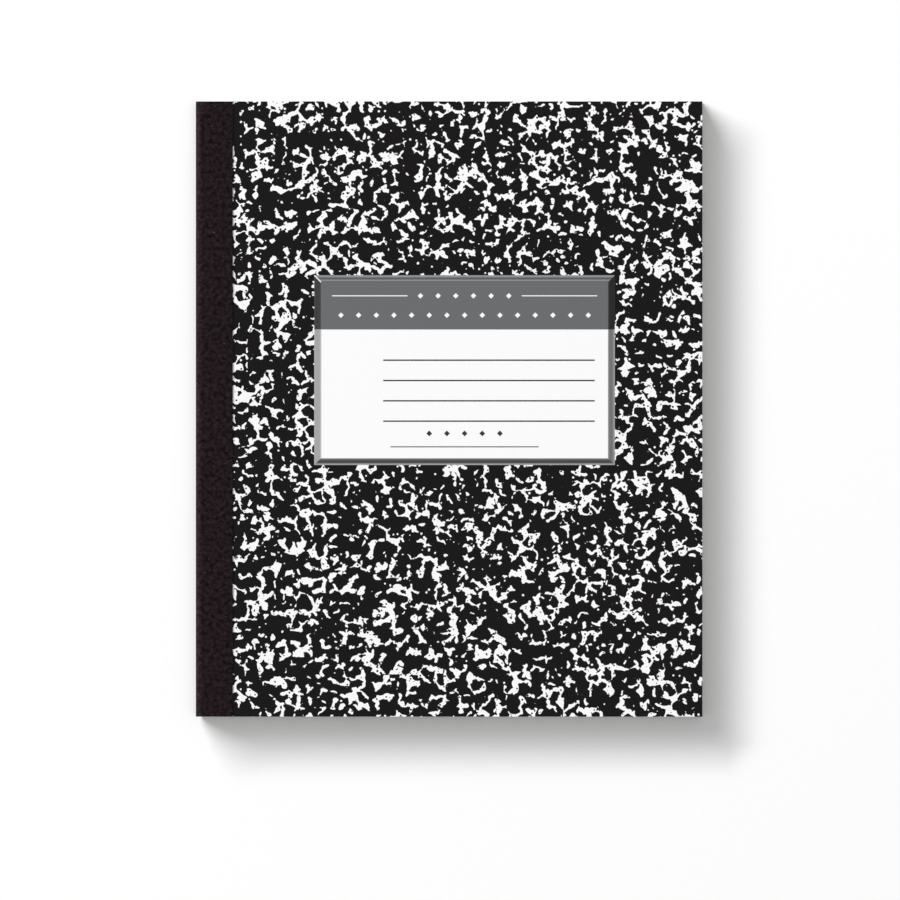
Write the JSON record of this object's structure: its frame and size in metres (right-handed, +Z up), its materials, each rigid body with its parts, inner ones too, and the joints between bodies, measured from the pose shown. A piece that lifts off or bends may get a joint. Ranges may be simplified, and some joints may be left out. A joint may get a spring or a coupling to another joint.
{
  "type": "composition notebook",
  "caption": "Closed sewn composition notebook with black-and-white marbled card covers, a cloth spine tape, ruled leaves and a bare grey-framed name label. Covers and pages turn.",
  "frame": {"origin": "middle of the closed book's footprint, on the table under the back cover", "axes": "+X from the spine to the fore-edge, +Y from the tail to the head, +Z up through the front cover"},
  "size_m": [0.1778, 0.216, 0.0047],
  "materials": {
    "ruled_paper": "uncoated white writing paper",
    "white_thread": "twisted white thread",
    "cover_card": "smooth coated white card",
    "tape_cloth": "woven black book cloth",
    "black_ink": "satin black print",
    "grey_ink": "satin grey print"
  },
  "bodies": {
    "back_cover": {"back_cover": "cover_card", "back_tape": "tape_cloth", "back_marble_print": "black_ink"},
    "page_block": {"page_block": "ruled_paper", "binding_thread": "white_thread"},
    "front_cover": {"front_cover": "cover_card", "front_tape": "tape_cloth", "front_marble_print": "black_ink", "label_print": "grey_ink", "label_lines": "black_ink"}
  },
  "joints": [
    {"name": "pages_turn", "type": "hinge", "parent": "back_cover", "child": "page_block", "pos_m": [-0.0889, 0, 0.00237], "axis": [0, -1, 0], "range_deg": [0, 180]},
    {"name": "front_cover_turn", "type": "hinge", "parent": "page_block", "child": "front_cover", "pos_m": [-0.0889, 0, 0.00237], "axis": [0, -1, 0], "range_deg": [0, 180]}
  ]
}
